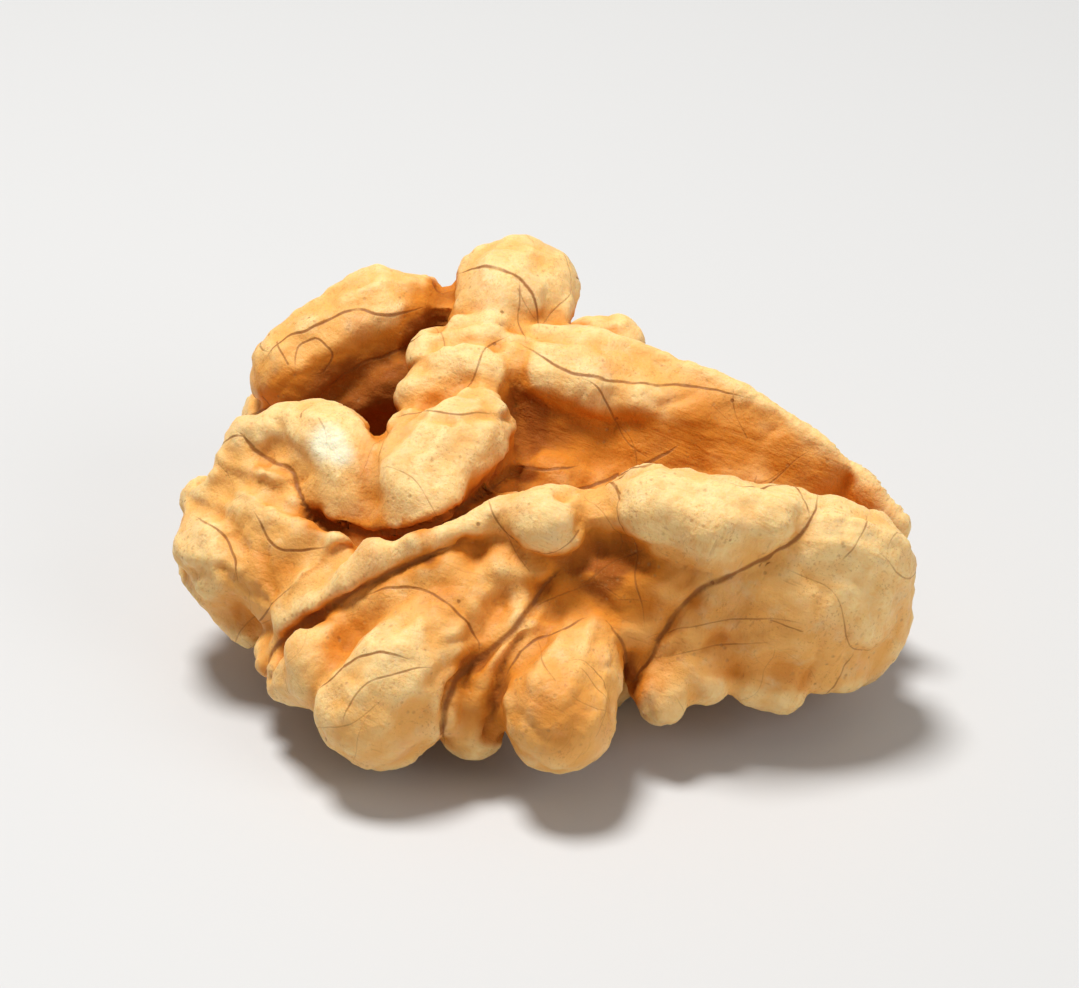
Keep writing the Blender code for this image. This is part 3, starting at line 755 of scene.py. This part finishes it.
def stipple_share(nodes):
    stipple = nodes.range(nodes.noise(0.13 * MM, 2.0, 0.6), 0.56, 0.68)
    return nodes.math("MULTIPLY", stipple, nodes.range(nodes.noise(1.7 * MM, 3.0), 0.42, 0.62, 0.05, 0.4))


def speck_share(nodes):
    speck = nodes.range(nodes.cells(1.4 * MM), 0.04, 0.09, 0.7, 0.0)
    return nodes.math("MULTIPLY", speck, nodes.range(nodes.noise(2.2 * MM, 0.0), 0.45, 0.6))


def pore_share(nodes):
    pore = nodes.range(nodes.cells(0.42 * MM), 0.08, 0.3, 0.55, 0.0)
    return nodes.math("MULTIPLY", pore, nodes.range(nodes.noise(1.3 * MM, 2.0), 0.45, 0.7))


def painted_shade_amount(nodes, at, patches):
    """Painted shade at each point, as in a deep hollow: what the kernel hides, less its crests, plus its
    marks.
    """
    shade_amount = nodes.math("ADD", at.shelter, nodes.math("MULTIPLY", nodes.math("SUBTRACT", patches, 0.5), 0.3))
    shade_amount = nodes.math("SUBTRACT", shade_amount, nodes.math("MULTIPLY", at.crest, 0.25))
    return nodes.math("ADD", shade_amount, nodes.math("MULTIPLY", at.tone, 0.7))


def lobe_color(nodes, at, patches, mottle, fibres):
    """Cream on the crests and tan below them, with pink and ashen blotches and tan fibres."""
    # Paler on the crests, partly the skin's own tone and partly painted light; the marks add painted light
    # and shade.
    pale = nodes.math("ADD", at.crest, nodes.math("MULTIPLY", nodes.math("SUBTRACT", patches, 0.5), 0.6))
    pale = nodes.math("SUBTRACT", pale, at.tone)
    color = nodes.mix(nodes.range(pale, 0.45, 1.0), TAN, CREAM)
    color = nodes.mix(nodes.range(nodes.noise(1.9 * MM, 3.0), 0.5, 0.8, 0.0, 0.55), color, PINK)
    color = nodes.mix(nodes.range(nodes.noise(1.1 * MM, 4.0, 0.6), 0.5, 0.75, 0.0, 0.5), color, ASHEN)
    color = nodes.mix(nodes.range(mottle, 0.4, 0.75, 0.0, 0.5), color, TAN)
    return nodes.mix(nodes.range(fibres, 0.52, 0.72, 0.0, 0.4), color, TAN)


def with_painted_shade(nodes, color, at, shade_amount, streaks):
    """Painted shade: orange, and then dark brown, in hollows, in creases and in the wing's streaky hollow."""
    # Painted shade where the kernel hides the sky.
    color = nodes.mix(nodes.range(shade_amount, -0.05, 0.36, 0.0, 0.95), color, SHADE_AND_SATIN_ORANGE)
    # In the wing's streaky hollow the orange is partly the smooth skin's own colour and partly painted shade.
    streaky = nodes.math("MULTIPLY", at.satin, nodes.range(streaks, 0.3, 0.7, 0.55, 0.95))
    color = nodes.mix(streaky, color, SHADE_AND_SATIN_ORANGE)
    color = nodes.mix(nodes.range(shade_amount, 0.34, 0.62, 0.0, 0.85), color, SHADE_AND_FIBRE_BROWN)
    # Painted shade in the pits and hollows.
    color = nodes.mix(nodes.range(at.hollow, 0.3, 1.0, 0.0, 0.45), color, SHADE_AND_SATIN_ORANGE)
    pit = nodes.math("MULTIPLY", nodes.range(at.hollow, 0.4, 1.0), nodes.range(shade_amount, 0.2, 0.5, 0.0, 0.6))
    color = nodes.mix(pit, color, SHADE_AND_FIBRE_BROWN)
    # Painted shade along the drawn creases.
    return nodes.mix(nodes.range(at.crease, 0.4, 1.0, 0.0, 0.75), color, SHADE_AND_FIBRE_BROWN)


def bumps(nodes, heights):
    """A bumped normal from (texture, height) pairs, where a height below 0 cuts in."""
    total = 0.0
    for texture, height in heights:
        total = nodes.math("ADD", nodes.math("MULTIPLY", texture, height), total)
    return nodes.new("Bump", {"Height": total, "Distance": 0.12 * MM, "Strength": 0.7}).outputs[0]


def skin_material():
    material = bpy.data.materials.new("walnut_skin")
    nodes = Nodes(material)
    shader = nodes.shader.inputs
    at = SimpleNamespace(**{name: nodes.attribute(name).outputs["Fac"] for name in POINT_VALUES})
    patches = nodes.noise(3.4 * MM, 3.0)
    mottle = nodes.noise(0.5 * MM, 4.0, 0.65)
    fine = nodes.noise(0.2 * MM, 4.0, 0.6)
    streaks = nodes.noise(0.34 * MM, 3.0, 0.6, (0.1, 1, 1), 0.3)
    fibres = mixed_fibres(nodes)
    shade_amount = painted_shade_amount(nodes, at, patches)
    speck = speck_share(nodes)
    pore = pore_share(nodes)
    veins = vein_mask(nodes)

    color = lobe_color(nodes, at, patches, mottle, fibres)
    # Painted shade in hollows, pits and creases.
    color = with_painted_shade(nodes, color, at, shade_amount, streaks)
    color = nodes.mix(nodes.range(fibres, 0.26, 0.4, 0.2, 0.0), color, SHADE_AND_FIBRE_BROWN)
    color = nodes.mix(stipple_share(nodes), color, STIPPLE_BROWN)
    color = nodes.mix(speck, color, VEIN_BROWN)
    color = nodes.mix(pore, color, PORE_BROWN)
    broken = nodes.range(nodes.noise(0.9 * MM, 2.0), 0.25, 0.5, 0.5, 0.85)
    color = nodes.mix(nodes.math("MULTIPLY", veins, broken), color, VEIN_BROWN)
    # The highlight painted on the curl, whitish and a little less rough.
    highlight_share = nodes.math("MULTIPLY", at.rubbed, nodes.range(mottle, 0.25, 0.6, 0.6, 1.0))
    nodes.join(nodes.mix(highlight_share, color, HIGHLIGHT_WHITE), shader["Base Color"])

    duller = nodes.range(shade_amount, 0.1, 0.5, 0.0, 0.3)
    roughness = nodes.math("ADD", nodes.range(mottle, 0.3, 0.7, 0.44, 0.62), duller)
    roughness = nodes.math("SUBTRACT", roughness, nodes.math("MULTIPLY", at.rubbed, 0.1))
    nodes.join(roughness, shader["Roughness"])
    shader["Specular IOR Level"].default_value = 0.22
    shader["Subsurface Weight"].default_value = 0.2
    shader["Subsurface Radius"].default_value = (1.0, 0.4, 0.12)
    shader["Subsurface Scale"].default_value = 0.7 * MM

    satin_streaks = nodes.math("MULTIPLY", at.satin, streaks)
    raised = [(fine, 0.4), (mottle, 1.0), (fibres, 0.4), (satin_streaks, 1.2)]
    cut_in = [(veins, -0.3), (speck, -0.4), (pore, -0.5)]
    nodes.join(bumps(nodes, raised + cut_in), shader["Normal"])
    return material


def walnut_kernel():
    skin = Skin(fine_skin())
    # How much painted shade the drawn creases put on each point.
    skin.attribute("crease", sculpt(skin))
    # Paler on the crests, partly the skin's own tone and partly painted light.
    crest = np.clip(0.5 - skin.hollowness(CREST_PASSES) / (0.5 * MM), 0, 1)
    skin.attribute("crest", skin.averaged(crest, 2))
    # How much painted shade goes into the pits, stronger on the outer side.
    hollow = np.clip(skin.hollowness(HOLLOW_PASSES) / (0.14 * MM), 0, 1)
    skin.attribute("hollow", skin.averaged(hollow, 1) * (1 + outer_share(skin)))
    # How much of the sky the kernel hides, for the painted shade.
    skin.attribute("shelter", shelter(skin))
    # Painted light and shade marks, with some of the skin's own tone.
    skin.attribute("tone", np.clip(marked(skin, LIGHT_SHADE_AND_TONE), PALEST, BROWNEST))
    skin.attribute("satin", skin.averaged(spots(skin, SATIN_SPOTS, SATIN_SOFTNESS), 3))
    # Where the curl's highlight is painted.
    skin.attribute("rubbed", spots(skin, PAINTED_HIGHLIGHT_SPOTS, PAINTED_HIGHLIGHT_SOFTNESS))
    for number, members in enumerate(sort_into_sets(all_veins(skin))):
        skin.attribute(f"veins_{number}", vein_map(skin, members))
    skin.write_back()
    mesh = skin.mesh
    mesh.shade_smooth()
    mesh.materials.clear()
    mesh.materials.append(skin_material())
    return linked("walnut_kernel", mesh)


def floor():
    mesh = bpy.data.meshes.new("floor")
    z = LOWEST.z - FLOOR_GAP
    corners = [(x * FLOOR_HALF, y * FLOOR_HALF, z) for x, y in ((-1, -1), (1, -1), (1, 1), (-1, 1))]
    mesh.from_pydata(corners, [], [(0, 1, 2, 3)])
    material = bpy.data.materials.new("white_table")
    shader = Nodes(material).shader.inputs
    shader["Base Color"].default_value = FLOOR_WHITE
    shader["Roughness"].default_value = 0.6
    mesh.materials.append(material)
    linked("floor", mesh)


def lamp(name, place, size, power):
    light = bpy.data.lights.new(name, "AREA")
    light.shape = "DISK"
    light.size = size
    light.energy = power
    obj = linked(name, light)
    obj.location = place
    obj.rotation_mode = "QUATERNION"
    obj.rotation_quaternion = (MIDDLE - obj.location).to_track_quat("-Z", "Y")


def studio():
    world = bpy.data.worlds.new("studio")
    world.use_nodes = True
    sky = world.node_tree.nodes["Background"].inputs
    sky["Color"].default_value = SKY_WHITE
    sky["Strength"].default_value = SKY_STRENGTH
    bpy.context.scene.world = world
    for name, (place, size, power) in LAMPS.items():
        lamp(name, place, size, power)
    bpy.context.scene.view_settings.view_transform = "Standard"


def camera():
    lens = bpy.data.cameras.new("camera")
    lens.lens = FOCAL_LENGTH
    lens.sensor_width = SENSOR_WIDTH
    lens.clip_start = NEAREST_SEEN
    obj = linked("camera", lens)
    obj.location = MIDDLE + TO_VIEWER * CAMERA_DISTANCE
    obj.rotation_mode = "QUATERNION"
    obj.rotation_quaternion = (-TO_VIEWER).to_track_quat("-Z", "Y")
    bpy.context.scene.camera = obj


kernel = walnut_kernel()
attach(kernel, "root")
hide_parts(NODE)
floor()
studio()
camera()
